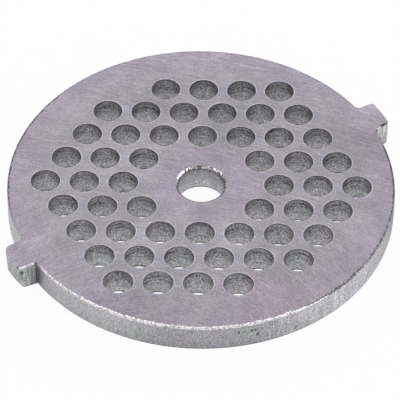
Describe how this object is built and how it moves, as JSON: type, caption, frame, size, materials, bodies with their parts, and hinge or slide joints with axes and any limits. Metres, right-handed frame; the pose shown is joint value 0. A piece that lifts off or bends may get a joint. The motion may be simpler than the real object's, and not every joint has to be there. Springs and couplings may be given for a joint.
{
  "type": "meat grinder plate",
  "caption": "Flat round steel plate pierced with grinding holes, with a chamfered centre bore and two locating tabs on its rim.",
  "frame": {"origin": "on the bore's axis, in the back face that rests on the surface", "axes": "+Z along the bore's axis to the knife face; the two tabs lie on X"},
  "size_m": [0.0588, 0.0534, 0.0041],
  "materials": {
    "ground_steel": "surface-ground faces, blanked rim"
  },
  "bodies": {
    "root": {"grinder_plate": "ground_steel"}
  },
  "joints": []
}
